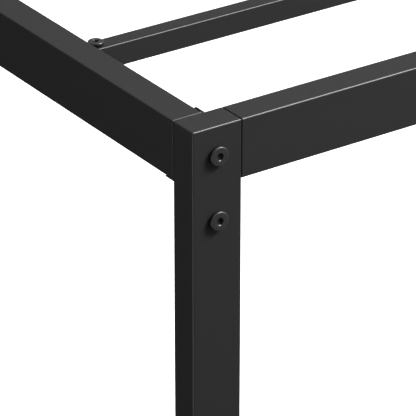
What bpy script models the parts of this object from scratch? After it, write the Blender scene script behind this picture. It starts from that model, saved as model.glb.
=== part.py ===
"""Metal bed frame: box-section rails bolted to corner legs, cross slats, and a centre beam on two legs.

Metres, +Z up. X runs across the bed, Y from the foot end (-Y) to the head end (+Y).
The origin is on the floor under the middle of the bed.
"""

import math

import bmesh
import bpy
from mathutils import Matrix, Vector

# Overall size
BED_WIDTH = 1.524
BED_LENGTH = 2.032
BED_HEIGHT = 0.356

# Steel tubes
TUBE_DEPTH = 0.030  # thickness of a rail, and depth of a leg along the bed
RAIL_HEIGHT = 0.056
LEG_WIDTH = 0.0503
HEAVY_WALL = 0.0015
LIGHT_WALL = 0.0012
CORNER_RADIUS = 0.0018
CORNER_STEPS = 2
AIR = 0.0003  # gap between pieces that touch
END_RAIL_GAP = 0.0006  # joint line between a leg and its end rail

# Feet
FOOT_FLANGE = 0.005
FOOT_INSERT = 0.020
FOOT_CHAMFER = 0.001

# Corner bracket, welded to the side rail's end and bolted to the leg
PLATE_THICKNESS = 0.0020
PLATE_EDGE_INSET = 0.0025
PLATE_DROP = 0.110
LIP_LENGTH = 0.0125
SIDE_LIP_THICKNESS = 0.0024
UNDER_LIP_THICKNESS = 0.0011
WING_REACH = 0.100
WING_TOP_DROP = 0.006
WING_BOTTOM_DROP = 0.050

# Fasteners
BIG_SHANK_RADIUS = 0.0040
BIG_HEAD_RADIUS = 0.0090
SMALL_SHANK_RADIUS = 0.0030
SMALL_HEAD_RADIUS = 0.0073
HEAD_HEIGHT = 0.0040
HEAD_ROUNDING = 0.0010
CORNER_BOLT_LENGTH = 0.0395
END_BOLT_LENGTH = 0.0200
SLAT_BOLT_LENGTH = 0.0340
BIG_SOCKET_WIDTH = 0.0060
SMALL_SOCKET_WIDTH = 0.0045
SOCKET_DEPTH = 0.0028
THREAD_CLEARANCE = 0.0003
HOLE_CLEARANCE = 0.0005
ROUND_STEPS = 12
BIG_NUT_WIDTH = 0.0130
BIG_NUT_HEIGHT = 0.0065
UPPER_BOLT_DROP = 0.0273
LOWER_BOLT_DROP = 0.0886
WING_BOLT_X = 0.080
INSERT_WALL = 0.002  # round the thread of an insert in an end rail
NOTCH_HEIGHT = 0.0182  # notch in a side rail round a weld nut

# Slats
SLAT_COUNT = 9
SLAT_WIDTH = 0.0183
SLAT_HEIGHT = 0.022
SLAT_DROP = 0.005
SLAT_END_GAP = 0.0006
FIRST_SLAT = 0.2102  # from the bed's end to the middle of the first slat
SLAT_BOLT_INSET = 0.0078
TAB_LENGTH = 0.026
TAB_WIDTH = 0.030
TAB_THICKNESS = 0.003
SMALL_NUT_WIDTH = 0.010
SMALL_NUT_HEIGHT = 0.005
TAB_BORE_LENGTH = 0.020

# Centre support
BEAM_WIDTH = 0.030
BEAM_HEIGHT = 0.040
HANGER_PLATE = 0.003
HANGER_DEPTH = 0.030
BEAM_PLAY = 0.0012  # between the beam and each cheek of its hanger
CENTRE_LEG_WIDTH = 0.030
CENTRE_LEG_PLACE = 0.5  # distance from the middle of the bed to a centre leg
TOP_PLATE_LENGTH = 0.080
TOP_PLATE_THICKNESS = 0.003

# Levels worked out from the sizes above
RAIL_BOTTOM = BED_HEIGHT - RAIL_HEIGHT
LEG_BOTTOM = FOOT_FLANGE + AIR
PLATE_FRONT = TUBE_DEPTH + AIR
PLATE_BACK = PLATE_FRONT + PLATE_THICKNESS
RAIL_START = PLATE_BACK + AIR
SLAT_TOP = BED_HEIGHT - SLAT_DROP
SLAT_BOTTOM = SLAT_TOP - SLAT_HEIGHT
TAB_TOP = SLAT_BOTTOM - AIR
BEAM_TOP = SLAT_BOTTOM - AIR
BEAM_BOTTOM = BEAM_TOP - BEAM_HEIGHT
SLAT_PITCH = (BED_LENGTH - 2 * FIRST_SLAT) / (SLAT_COUNT - 1)
SLAT_BOLT_X = TUBE_DEPTH + SLAT_BOLT_INSET
TUCK = 0.001  # how far a welded piece runs into its parent
SAME_PLACE = 1e-6

# Finishes: colour, metallic, roughness
TUBE_STEEL = ((0.028, 0.028, 0.029, 1.0), 0.0, 0.45)
BRACKET_STEEL = ((0.028, 0.028, 0.029, 1.0), 0.0, 0.5)
BLACK_SCREW = ((0.018, 0.018, 0.018, 1.0), 0.6, 0.35)
BLACK_PLASTIC = ((0.012, 0.012, 0.012, 1.0), 0.0, 0.6)


def clear_scene():
    for obj in list(bpy.data.objects):
        bpy.data.objects.remove(obj, do_unlink=True)


def new_collection(name):
    collection = bpy.data.collections.new(name)
    bpy.context.scene.collection.children.link(collection)
    return collection


clear_scene()
PARTS = new_collection("bed_frame")
CUTTERS = new_collection("cutters")


def principled(name, colour, metallic, roughness):
    material = bpy.data.materials.new(name)
    material.use_nodes = True
    shader = material.node_tree.nodes["Principled BSDF"]
    shader.inputs["Base Color"].default_value = colour
    shader.inputs["Metallic"].default_value = metallic
    shader.inputs["Roughness"].default_value = roughness
    return material


def finish_object(obj, finish):
    obj.data.materials.clear()
    obj.data.materials.append(principled(obj.name + "_finish", *finish))


def box_into(bm, low, high):
    """A box between two corners, added to a bmesh; returns its vertices."""
    low, high = Vector(low), Vector(high)
    place = Matrix.Translation((low + high) / 2) @ Matrix.Diagonal((*(high - low), 1.0))
    return bmesh.ops.create_cube(bm, size=1.0, matrix=place)["verts"]


def rod_into(bm, centre, direction, radius, length, sides=ROUND_STEPS):
    """A straight prism with a round or many-sided section, centred on a point."""
    turn = Vector(direction).to_track_quat("Z", "Y").to_matrix().to_4x4()
    bmesh.ops.create_cone(
        bm, cap_ends=True, segments=sides, radius1=radius, radius2=radius,
        depth=length, matrix=Matrix.Translation(centre) @ turn,
    )


def object_from(bm, name, collection):
    mesh = bpy.data.meshes.new(name)
    bmesh.ops.recalc_face_normals(bm, faces=bm.faces)
    bm.to_mesh(mesh)
    bm.free()
    obj = bpy.data.objects.new(name, mesh)
    collection.objects.link(obj)
    return obj


def helper_from(bm, name):
    """A cutter or an added shape: seen as wire and left out of the build."""
    obj = object_from(bm, name, CUTTERS)
    obj.hide_render = True
    obj.display_type = "WIRE"
    return obj


def boxes_helper(name, pairs):
    bm = bmesh.new()
    for low, high in pairs:
        box_into(bm, low, high)
    return helper_from(bm, name)


def rods_helper(name, centres, direction, radius, length, sides=ROUND_STEPS):
    bm = bmesh.new()
    for centre in centres:
        rod_into(bm, centre, direction, radius, length, sides)
    return helper_from(bm, name)


def boolean(obj, operation, helper):
    modifier = obj.modifiers.new(helper.name, "BOOLEAN")
    modifier.operation = operation
    modifier.solver = "EXACT"
    modifier.object = helper


def rounded_bar(name, low, high, axis, close_top=False):
    """A solid bar with its long edges rounded, and its top edges too if it is closed."""
    bm = bmesh.new()
    box_into(bm, low, high)
    edges = []
    for edge in bm.edges:
        run = edge.verts[0].co - edge.verts[1].co
        on_top = min(vert.co.z for vert in edge.verts) > high[2] - SAME_PLACE
        if abs(run[axis]) > SAME_PLACE or (close_top and on_top):
            edges.append(edge)
    bmesh.ops.bevel(
        bm, geom=edges, offset=CORNER_RADIUS, segments=CORNER_STEPS,
        affect="EDGES", profile=0.5, clamp_overlap=True,
    )
    return object_from(bm, name, PARTS)


def hollow(obj, low, high, axis, wall, open_low=True, open_high=True):
    """Cuts the inside of a tube, running past each end that is open."""
    inner_low = [value + wall for value in low]
    inner_high = [value - wall for value in high]
    if open_low:
        inner_low[axis] = low[axis] - wall
    if open_high:
        inner_high[axis] = high[axis] + wall
    boolean(obj, "DIFFERENCE", boxes_helper(obj.name + "_hollow", [(inner_low, inner_high)]))


def evaluated_mesh(obj):
    """The object's final mesh; the object and its helpers are removed."""
    bpy.context.view_layer.update()
    graph = bpy.context.evaluated_depsgraph_get()
    mesh = bpy.data.meshes.new_from_object(obj.evaluated_get(graph))
    helpers = [modifier.object for modifier in obj.modifiers if modifier.type == "BOOLEAN"]
    for old in [obj, *helpers]:
        bpy.data.objects.remove(old, do_unlink=True)
    return mesh


def placed_copy(mesh, name, matrix):
    """A copy of a mesh with its place, or its mirror image, in its points."""
    copy = mesh.copy()
    copy.name = name
    copy.transform(matrix)
    if matrix.determinant() < 0:
        copy.flip_normals()
    obj = bpy.data.objects.new(name, copy)
    PARTS.objects.link(obj)
    return obj


CORNERS = {
    "foot_left": (-1, -1),
    "foot_right": (1, -1),
    "head_left": (-1, 1),
    "head_right": (1, 1),
}


def corner_matrix(side, end):
    """Takes a place measured inwards from a corner to its place on the bed."""
    outer = Vector((side * BED_WIDTH / 2, end * BED_LENGTH / 2, 0))
    return Matrix.Translation(outer) @ Matrix.Diagonal((-side, -end, 1.0, 1.0))


def bolt_mesh(head_radius, shank_radius, shank_length, socket_width):
    """A flat-headed socket bolt, head up, with the underside of its head at the origin."""
    profile = [
        (0.0, HEAD_HEIGHT),
        (head_radius - HEAD_ROUNDING, HEAD_HEIGHT),
        (head_radius, HEAD_HEIGHT - HEAD_ROUNDING),
        (head_radius, 0.0),
        (shank_radius, 0.0),
        (shank_radius, -shank_length),
        (0.0, -shank_length),
    ]
    mesh = bpy.data.meshes.new("bolt_profile")
    points = [(radius, 0.0, height) for radius, height in profile]
    mesh.from_pydata(points, [(i, i + 1) for i in range(len(points) - 1)], [])
    obj = bpy.data.objects.new("bolt_profile", mesh)
    PARTS.objects.link(obj)
    turn = obj.modifiers.new("turn", "SCREW")
    turn.steps = turn.render_steps = ROUND_STEPS
    turn.use_merge_vertices = True
    turn.merge_threshold = 0.00001
    corner_radius = socket_width / 2 / math.cos(math.pi / 6)
    middle = (0.0, 0.0, HEAD_HEIGHT)
    socket = rods_helper("bolt_socket", [middle], (0, 0, 1), corner_radius, 2 * SOCKET_DEPTH, 6)
    boolean(obj, "DIFFERENCE", socket)
    return evaluated_mesh(obj)


def leg_mesh():
    """A leg measured from its outer corner, closed on top and open underneath."""
    low = (0.0, 0.0, LEG_BOTTOM)
    high = (LEG_WIDTH, TUBE_DEPTH, BED_HEIGHT)
    obj = rounded_bar("leg_blank", low, high, 2, close_top=True)
    hollow(obj, low, high, 2, HEAVY_WALL, open_high=False)
    centres = [
        (LEG_WIDTH / 2, TUBE_DEPTH / 2, BED_HEIGHT - drop)
        for drop in (UPPER_BOLT_DROP, LOWER_BOLT_DROP)
    ]
    radius = BIG_SHANK_RADIUS + HOLE_CLEARANCE
    boolean(obj, "DIFFERENCE", rods_helper("leg_holes", centres, (0, 1, 0), radius, 2 * TUBE_DEPTH))
    return evaluated_mesh(obj)


def foot_mesh(width, depth, wall):
    """A moulded foot: a flange under the tube and a plug inside it."""
    play = wall + AIR
    bm = bmesh.new()
    box_into(bm, (play, play, FOOT_FLANGE - TUCK), (width - play, depth - play, FOOT_FLANGE + FOOT_INSERT))
    plug = helper_from(bm, "foot_plug")
    bm = bmesh.new()
    box_into(bm, (0, 0, 0), (width, depth, FOOT_FLANGE))
    edges = [edge for edge in bm.edges if max(vert.co.z for vert in edge.verts) < SAME_PLACE]
    bmesh.ops.bevel(bm, geom=edges, offset=FOOT_CHAMFER, segments=1, affect="EDGES")
    obj = object_from(bm, "foot_blank", PARTS)
    boolean(obj, "UNION", plug)
    return evaluated_mesh(obj)


def bracket_plate_outline():
    """The plate's outline in X and Z: flush over the side rail's end, then a wing behind the end rail."""
    left, right = PLATE_EDGE_INSET, LEG_WIDTH - PLATE_EDGE_INSET
    top, bottom = BED_HEIGHT - PLATE_EDGE_INSET, BED_HEIGHT - PLATE_DROP
    wing_top, wing_bottom = BED_HEIGHT - WING_TOP_DROP, BED_HEIGHT - WING_BOTTOM_DROP
    flush_right = TUBE_DEPTH + AIR + SIDE_LIP_THICKNESS
    flush_bottom = RAIL_BOTTOM - AIR - UNDER_LIP_THICKNESS
    return [
        (left, bottom), (right, bottom), (right, wing_bottom), (WING_REACH, wing_bottom),
        (WING_REACH, wing_top), (right, wing_top), (right, top), (flush_right, top),
        (flush_right, BED_HEIGHT), (0.0, BED_HEIGHT), (0.0, flush_bottom), (left, flush_bottom),
    ]


def bracket_mesh():
    """The corner bracket, measured from the bed's outer corner."""
    bm = bmesh.new()
    face = bm.faces.new([bm.verts.new((x, PLATE_FRONT, z)) for x, z in bracket_plate_outline()])
    grown = bmesh.ops.extrude_face_region(bm, geom=[face])["geom"]
    moved = [part for part in grown if isinstance(part, bmesh.types.BMVert)]
    bmesh.ops.translate(bm, verts=moved, vec=(0, PLATE_THICKNESS, 0))
    obj = object_from(bm, "bracket_blank", PARTS)
    lip_front, lip_back = PLATE_FRONT + TUCK, PLATE_FRONT + LIP_LENGTH
    side_low = TUBE_DEPTH + AIR
    side_high = side_low + SIDE_LIP_THICKNESS
    under_high = RAIL_BOTTOM - AIR
    under_low = under_high - UNDER_LIP_THICKNESS
    under = ((AIR, PLATE_FRONT, under_low), (side_high, lip_back, under_high))
    side = (
        (side_low, lip_front, (under_low + under_high) / 2),
        (side_high, lip_back, BED_HEIGHT - AIR),
    )
    boolean(obj, "UNION", boxes_helper("bracket_under_lip", [under]))
    boolean(obj, "UNION", boxes_helper("bracket_side_lip", [side]))
    nut_length = BIG_NUT_HEIGHT + TUCK
    nut_middle = PLATE_BACK - TUCK + nut_length / 2
    nuts = [
        (LEG_WIDTH / 2, nut_middle, BED_HEIGHT - drop)
        for drop in (UPPER_BOLT_DROP, LOWER_BOLT_DROP)
    ]
    nut_radius = BIG_NUT_WIDTH / 2 / math.cos(math.pi / 6)
    boolean(obj, "UNION", rods_helper("bracket_nuts", nuts, (0, 1, 0), nut_radius, nut_length, 6))
    bores = [(x, PLATE_BACK, z) for x, _, z in nuts]
    bores.append((WING_BOLT_X, PLATE_BACK, BED_HEIGHT - UPPER_BOLT_DROP))
    radius = BIG_SHANK_RADIUS + THREAD_CLEARANCE
    boolean(obj, "DIFFERENCE", rods_helper("bracket_bores", bores, (0, 1, 0), radius, TUBE_DEPTH))
    return evaluated_mesh(obj)


def slat_places():
    """Y of the middle of each slat, from the foot end to the head end."""
    first = -BED_LENGTH / 2 + FIRST_SLAT
    return [first + index * SLAT_PITCH for index in range(SLAT_COUNT)]


def side_rail(name, side):
    """A side rail with its slat tabs, the nuts under them, and a notch for the weld nut at each end."""
    reach = BED_LENGTH / 2 - RAIL_START
    low = (0.0, -reach, RAIL_BOTTOM)
    high = (TUBE_DEPTH, reach, BED_HEIGHT)
    obj = rounded_bar(name + "_blank", low, high, 1)
    hollow(obj, low, high, 1, HEAVY_WALL)
    tab_bottom = TAB_TOP - TAB_THICKNESS
    tabs = [
        (
            (TUBE_DEPTH - TUCK, y - TAB_WIDTH / 2, tab_bottom),
            (TUBE_DEPTH + TAB_LENGTH, y + TAB_WIDTH / 2, TAB_TOP),
        )
        for y in slat_places()
    ]
    boolean(obj, "UNION", boxes_helper(name + "_tabs", tabs))
    nut_length = SMALL_NUT_HEIGHT + TUCK
    nut_radius = SMALL_NUT_WIDTH / 2 / math.cos(math.pi / 6)
    nuts = [(SLAT_BOLT_X, y, tab_bottom + TUCK - nut_length / 2) for y in slat_places()]
    boolean(obj, "UNION", rods_helper(name + "_nuts", nuts, (0, 0, 1), nut_radius, nut_length, 6))
    radius = SMALL_SHANK_RADIUS + THREAD_CLEARANCE
    bores = [(SLAT_BOLT_X, y, tab_bottom) for y in slat_places()]
    boolean(obj, "DIFFERENCE", rods_helper(name + "_bores", bores, (0, 0, 1), radius, TAB_BORE_LENGTH))
    notch_half = NOTCH_HEIGHT / 2
    notch_z = BED_HEIGHT - UPPER_BOLT_DROP
    notch_length = LIP_LENGTH - PLATE_THICKNESS - 2 * AIR
    notches = []
    for end in (-1, 1):
        outer, inner = end * (reach + TUCK), end * (reach - notch_length)
        notches.append((
            (TUBE_DEPTH - 2 * HEAVY_WALL, min(outer, inner), notch_z - notch_half),
            (TUBE_DEPTH + TUCK, max(outer, inner), notch_z + notch_half),
        ))
    boolean(obj, "DIFFERENCE", boxes_helper(name + "_notches", notches))
    mesh = evaluated_mesh(obj)
    place = Matrix.Translation((side * BED_WIDTH / 2, 0, 0)) @ Matrix.Diagonal((-side, 1.0, 1.0, 1.0))
    return placed_copy(mesh, name, place)


def end_rail(name, end):
    """An end rail with a hanger for the centre beam and a threaded insert near each end."""
    reach = BED_WIDTH / 2 - LEG_WIDTH - END_RAIL_GAP
    low = (-reach, 0.0, RAIL_BOTTOM)
    high = (reach, TUBE_DEPTH, BED_HEIGHT)
    obj = rounded_bar(name + "_blank", low, high, 0)
    hollow(obj, low, high, 0, HEAVY_WALL)
    floor_top = BEAM_BOTTOM - AIR
    floor_bottom = floor_top - HANGER_PLATE
    inner_half = BEAM_WIDTH / 2 + BEAM_PLAY
    outer_half = inner_half + HANGER_PLATE
    back = TUBE_DEPTH + HANGER_PLATE
    hanger_end = back + HANGER_DEPTH
    saddle = boxes_helper(name + "_saddle", [
        ((-outer_half, TUBE_DEPTH - TUCK, floor_bottom), (outer_half, hanger_end, BEAM_TOP - 2 * TUCK)),
    ])
    hollow_out = boxes_helper(name + "_saddle_room", [
        ((-inner_half, back, floor_top), (inner_half, hanger_end + TUCK, BEAM_TOP)),
    ])
    boolean(obj, "UNION", saddle)
    boolean(obj, "DIFFERENCE", hollow_out)
    drop_z = BED_HEIGHT - UPPER_BOLT_DROP
    places = [side * (BED_WIDTH / 2 - WING_BOLT_X) for side in (-1, 1)]
    collar_back = TUBE_DEPTH - HEAVY_WALL / 2
    collar_front = TUBE_DEPTH / 2
    collar_length = collar_back - collar_front
    middles = [(x, (collar_back + collar_front) / 2, drop_z) for x in places]
    collar_radius = BIG_SHANK_RADIUS + INSERT_WALL
    boolean(obj, "UNION", rods_helper(name + "_inserts", middles, (0, 1, 0), collar_radius, collar_length))
    bores = [(x, TUBE_DEPTH, drop_z) for x in places]
    radius = BIG_SHANK_RADIUS + THREAD_CLEARANCE
    bore_length = 2 * (TUBE_DEPTH - collar_front + TUCK)
    boolean(obj, "DIFFERENCE", rods_helper(name + "_bores", bores, (0, 1, 0), radius, bore_length))
    mesh = evaluated_mesh(obj)
    place = Matrix.Translation((0, end * BED_LENGTH / 2, 0)) @ Matrix.Diagonal((1.0, -end, 1.0, 1.0))
    return placed_copy(mesh, name, place)


def slat_mesh():
    """A slat at Y = 0, with a bolt hole through it near each end."""
    reach = BED_WIDTH / 2 - TUBE_DEPTH - SLAT_END_GAP
    low = (-reach, -SLAT_WIDTH / 2, SLAT_BOTTOM)
    high = (reach, SLAT_WIDTH / 2, SLAT_TOP)
    obj = rounded_bar("slat_blank", low, high, 0)
    hollow(obj, low, high, 0, LIGHT_WALL)
    bolt_x = BED_WIDTH / 2 - SLAT_BOLT_X
    centres = [(side * bolt_x, 0.0, (SLAT_TOP + SLAT_BOTTOM) / 2) for side in (-1, 1)]
    radius = SMALL_SHANK_RADIUS + HOLE_CLEARANCE
    boolean(obj, "DIFFERENCE", rods_helper("slat_holes", centres, (0, 0, 1), radius, 2 * SLAT_HEIGHT))
    return evaluated_mesh(obj)


def centre_beam():
    reach = BED_LENGTH / 2 - TUBE_DEPTH - HANGER_PLATE - 2 * AIR
    low = (-BEAM_WIDTH / 2, -reach, BEAM_BOTTOM)
    high = (BEAM_WIDTH / 2, reach, BEAM_TOP)
    obj = rounded_bar("centre_beam_blank", low, high, 1)
    hollow(obj, low, high, 1, HEAVY_WALL)
    return placed_copy(evaluated_mesh(obj), "centre_beam", Matrix.Identity(4))


def centre_leg_mesh():
    """A square leg with a welded top plate that bolts up under the beam."""
    half = CENTRE_LEG_WIDTH / 2
    plate_top = BEAM_BOTTOM - AIR
    plate_bottom = plate_top - TOP_PLATE_THICKNESS
    low = (-half, -half, LEG_BOTTOM)
    high = (half, half, plate_bottom + TUCK)
    obj = rounded_bar("centre_leg_blank", low, high, 2)
    hollow(obj, low, high, 2, HEAVY_WALL, open_high=False)
    plate = ((-half, -TOP_PLATE_LENGTH / 2, plate_bottom), (half, TOP_PLATE_LENGTH / 2, plate_top))
    boolean(obj, "UNION", boxes_helper("centre_leg_plate", [plate]))
    return evaluated_mesh(obj)


def make_corners():
    leg, bracket = leg_mesh(), bracket_mesh()
    foot = foot_mesh(LEG_WIDTH, TUBE_DEPTH, HEAVY_WALL)
    corner_bolt = bolt_mesh(BIG_HEAD_RADIUS, BIG_SHANK_RADIUS, CORNER_BOLT_LENGTH, BIG_SOCKET_WIDTH)
    end_bolt = bolt_mesh(BIG_HEAD_RADIUS, BIG_SHANK_RADIUS, END_BOLT_LENGTH, BIG_SOCKET_WIDTH)
    outwards = Matrix.Rotation(math.radians(90), 4, "X")
    inwards = Matrix.Rotation(math.radians(-90), 4, "X")
    for corner, (side, end) in CORNERS.items():
        at = corner_matrix(side, end)
        finish_object(placed_copy(leg, "leg_" + corner, at), TUBE_STEEL)
        finish_object(placed_copy(foot, "foot_cap_" + corner, at), BLACK_PLASTIC)
        finish_object(placed_copy(bracket, "bracket_" + corner, at), BRACKET_STEEL)
        for level, drop in (("upper", UPPER_BOLT_DROP), ("lower", LOWER_BOLT_DROP)):
            seat = Matrix.Translation((LEG_WIDTH / 2, -AIR, BED_HEIGHT - drop)) @ outwards
            name = "corner_bolt_" + corner + "_" + level
            finish_object(placed_copy(corner_bolt, name, at @ seat), BLACK_SCREW)
        seat = Matrix.Translation((WING_BOLT_X, PLATE_BACK + AIR, BED_HEIGHT - UPPER_BOLT_DROP)) @ inwards
        finish_object(placed_copy(end_bolt, "rail_bolt_" + corner, at @ seat), BLACK_SCREW)


def make_rails():
    for name, side in (("side_rail_left", -1), ("side_rail_right", 1)):
        finish_object(side_rail(name, side), TUBE_STEEL)
    for name, end in (("end_rail_foot", -1), ("end_rail_head", 1)):
        finish_object(end_rail(name, end), TUBE_STEEL)


def make_slats():
    slat = slat_mesh()
    bolt = bolt_mesh(SMALL_HEAD_RADIUS, SMALL_SHANK_RADIUS, SLAT_BOLT_LENGTH, SMALL_SOCKET_WIDTH)
    for number, y in enumerate(slat_places(), 1):
        name = "slat_%d" % number
        finish_object(placed_copy(slat, name, Matrix.Translation((0, y, 0))), TUBE_STEEL)
        for word, side in (("left", -1), ("right", 1)):
            seat = Vector((side * (BED_WIDTH / 2 - SLAT_BOLT_X), y, SLAT_TOP + AIR))
            bolt_name = "slat_bolt_%d_%s" % (number, word)
            finish_object(placed_copy(bolt, bolt_name, Matrix.Translation(seat)), BLACK_SCREW)


def make_centre_support():
    finish_object(centre_beam(), TUBE_STEEL)
    leg = centre_leg_mesh()
    foot = foot_mesh(CENTRE_LEG_WIDTH, CENTRE_LEG_WIDTH, HEAVY_WALL)
    half = CENTRE_LEG_WIDTH / 2
    for word, end in (("foot", -1), ("head", 1)):
        y = end * CENTRE_LEG_PLACE
        finish_object(
            placed_copy(leg, "centre_leg_" + word, Matrix.Translation((0, y, 0))), TUBE_STEEL,
        )
        finish_object(
            placed_copy(foot, "centre_cap_" + word, Matrix.Translation((-half, y - half, 0))),
            BLACK_PLASTIC,
        )


make_corners()
make_rails()
make_slats()
make_centre_support()
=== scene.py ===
"""Finish work for a metal bed frame: fine tube edges, screws, welds, moulded feet and powder coat."""

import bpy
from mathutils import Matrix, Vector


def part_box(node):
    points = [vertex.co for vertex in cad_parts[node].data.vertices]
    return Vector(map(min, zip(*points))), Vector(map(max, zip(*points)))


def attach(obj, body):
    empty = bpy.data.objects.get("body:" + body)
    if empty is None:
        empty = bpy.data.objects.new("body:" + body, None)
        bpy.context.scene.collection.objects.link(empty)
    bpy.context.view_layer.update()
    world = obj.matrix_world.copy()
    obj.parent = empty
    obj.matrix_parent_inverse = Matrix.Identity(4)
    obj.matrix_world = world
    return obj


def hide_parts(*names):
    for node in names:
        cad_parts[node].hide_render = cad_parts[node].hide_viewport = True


bl_info = {
    "name": "Metal Bed Frame Finish",
    "version": (1, 0, 0),
    "blender": (4, 5, 0),
    "location": "View3D > Sidebar > Bed Frame",
    "description": "Builds the finished steel, screws, welds and feet of a bed frame around its plain solids",
    "category": "Object",
}

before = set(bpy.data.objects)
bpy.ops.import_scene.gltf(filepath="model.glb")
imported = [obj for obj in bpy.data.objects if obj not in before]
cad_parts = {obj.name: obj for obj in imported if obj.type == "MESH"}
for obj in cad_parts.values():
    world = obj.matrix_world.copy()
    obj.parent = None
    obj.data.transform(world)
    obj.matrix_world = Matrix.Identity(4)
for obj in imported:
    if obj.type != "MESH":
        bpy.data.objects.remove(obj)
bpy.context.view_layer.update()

import math

import bmesh
import bpy
from mathutils import Matrix, Vector

# Boxes of the solids
LEG_LOW, LEG_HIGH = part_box("leg_foot_left")
SIDE_LOW, SIDE_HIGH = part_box("side_rail_left")
END_LOW, END_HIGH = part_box("end_rail_foot")
SLAT_LOW, SLAT_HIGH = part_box("slat_1")
LAST_SLAT_LOW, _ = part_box("slat_9")
BEAM_LOW, BEAM_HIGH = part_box("centre_beam")
CENTRE_LOW, CENTRE_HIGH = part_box("centre_leg_foot")
BRACKET_LOW, BRACKET_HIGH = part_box("bracket_foot_left")
FOOT_LOW, FOOT_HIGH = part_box("foot_cap_foot_left")
UPPER_LOW, UPPER_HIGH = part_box("corner_bolt_foot_left_upper")
LOWER_LOW, LOWER_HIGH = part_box("corner_bolt_foot_left_lower")
RAIL_BOLT_LOW, RAIL_BOLT_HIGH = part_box("rail_bolt_foot_left")
SLAT_BOLT_LOW, SLAT_BOLT_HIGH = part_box("slat_bolt_1_left")

# Details too small to be settings, in metres
AIR = 0.0003  # gap between solids that touch
SINK = 0.0004  # how far a welded piece runs into its tube, and how far a weld stands off
TUCK = 0.001  # how far a nut runs into the sheet it is welded to
OVERSHOOT = 0.01  # how far a cut runs past the piece
HIDDEN_RIM = 0.0001  # rounding of a rail's cut end, behind a plug or a bracket
SLAT_CORNER_SHARE = 0.7  # of the rails' corner radius
TAB_HALF, TAB_THICKNESS, TAB_CUT = 0.015, 0.003, 0.006
TAB_WELD_HALF = 0.014
PLUG_THICKNESS, PLUG_TUCK = 0.00015, 0.0001
HANGER_SHEET, HANGER_PLAY, HANGER_DROP = 0.003, 0.0012, 0.002
HANGER_WELD_INSET = 0.003
PLATE_INSET, WING_TOP_DROP, WING_BOTTOM_DROP = 0.0025, 0.006, 0.050
SEAM_FRONT = 0.001  # from the plate's front to the weld that fills its gap to the rail
SLEEVE_FRONT = 0.0001  # from the plate's front to the sleeve's
NOTCH_HALF = 0.009
POST_PLATE, POST_PLATE_CORNER, POST_SINK = 0.003, 0.004, 0.0005
POST_SCREW_INSET, POST_WELD_CORNER = 0.012, 0.003
TAB_SOFT, HANGER_SOFT, PLATE_SOFT, SLEEVE_SOFT = 0.00035, 0.0005, 0.0005, 0.0004

# Bolts, nuts and the holes for them, in metres
HEAD_HEIGHT = 0.004
BIG_SHANK, SMALL_SHANK = 0.0040, 0.0030
BIG_HOLE, SMALL_HOLE = 0.0045, 0.0035
BIG_BORE, SMALL_BORE = 0.0043, 0.0033
BIG_PITCH, SMALL_PITCH = 0.00125, 0.001
BIG_NUT_RADIUS, BIG_NUT_HEIGHT = 0.0075, 0.0065
SMALL_NUT_RADIUS, SMALL_NUT_HEIGHT = 0.0058, 0.005
BIG_CUT, SMALL_CUT, SLAT_CUT = 0.03, 0.02, 0.1  # lengths of the rods that cut holes
WASHER_FIT = 0.0002  # how far a washer stays inside its head, and off its shank
FINE_EDGE = 0.0004  # chamfer of a washer and of a head's underside
THREAD_SHARE = 0.55  # of the shank that is threaded
FLAT_INSET = 1.25  # of the rim's radius, from a head's edge to its flat top
SHANK_CHAMFER = 0.0008
LEAD_DEPTH, LEAD_INSIDE, LEAD_OUTSIDE = 0.0008, 0.0005, 0.0003  # funnel at a socket's mouth

# Feet, in metres
TREAD_INSET, TREAD_DEPTH, TREAD_MARGIN = 0.004, 0.0008, 0.0012
FLANGE_DROP, FLANGE_INSET = 0.0006, 0.0005
RIB_COUNT, RIB_PITCH, RIB_HEIGHT, RIB_SLOPE = 3, 0.005, 0.0006, 0.001
PLUG_TAPER = 0.001

# Roundness
LEAST_RADIUS = 0.0002
ARC_STEPS, FOOT_STEPS, PLUG_STEPS, RIM_STEPS, WELD_STEPS = 6, 5, 4, 3, 3
ROUND_STEPS, BORE_STEPS, HEX_SIDES = 48, 32, 6
SOFT_ANGLE = math.radians(40.0)  # edges sharper than this are rounded

# Finishes
MOTTLE_DARK, MOTTLE_LIGHT = 0.93, 1.07  # shares of a finish's colour
LESS_ROUGH, MORE_ROUGH = 0.03, 0.04

# Levels and places worked out from the above
HALF_WIDTH, HALF_LENGTH = -LEG_LOW.x, -LEG_LOW.y
TOP = LEG_HIGH.z
LEG_WIDTH = LEG_HIGH.x - LEG_LOW.x
TUBE_DEPTH = LEG_HIGH.y - LEG_LOW.y
RAIL_BOTTOM = SIDE_LOW.z
RAIL_START = SIDE_LOW.y + HALF_LENGTH
END_REACH = END_HIGH.x
PLATE_FRONT = BRACKET_LOW.y + HALF_LENGTH
LIP_BACK = BRACKET_HIGH.y + HALF_LENGTH
LIP_INSIDE = TUBE_DEPTH + AIR
LIP_TOP = RAIL_BOTTOM - AIR
SLAT_COUNT = 9
SLAT_PITCH = (LAST_SLAT_LOW.y - SLAT_LOW.y) / (SLAT_COUNT - 1)
FIRST_SLAT = (SLAT_LOW.y + SLAT_HIGH.y) / 2
SLAT_PLACES = [FIRST_SLAT + index * SLAT_PITCH for index in range(SLAT_COUNT)]
SLAT_BOLT_X = (SLAT_BOLT_LOW.x + SLAT_BOLT_HIGH.x) / 2
TAB_TOP = SLAT_LOW.z - AIR
BEAM_HALF = (BEAM_HIGH.x - BEAM_LOW.x) / 2
POST_HALF = CENTRE_HIGH.x
POST_Y = (CENTRE_LOW.y + CENTRE_HIGH.y) / 2
CORNERS = {
    "foot_left": (-1, -1),
    "foot_right": (1, -1),
    "head_left": (-1, 1),
    "head_right": (1, 1),
}


# ---- Settings ----


def metres(name, description, default, least, most):
    """A setting for a length."""
    return bpy.props.FloatProperty(
        name=name, description=description, default=default, min=least, max=most, unit="LENGTH")


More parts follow.
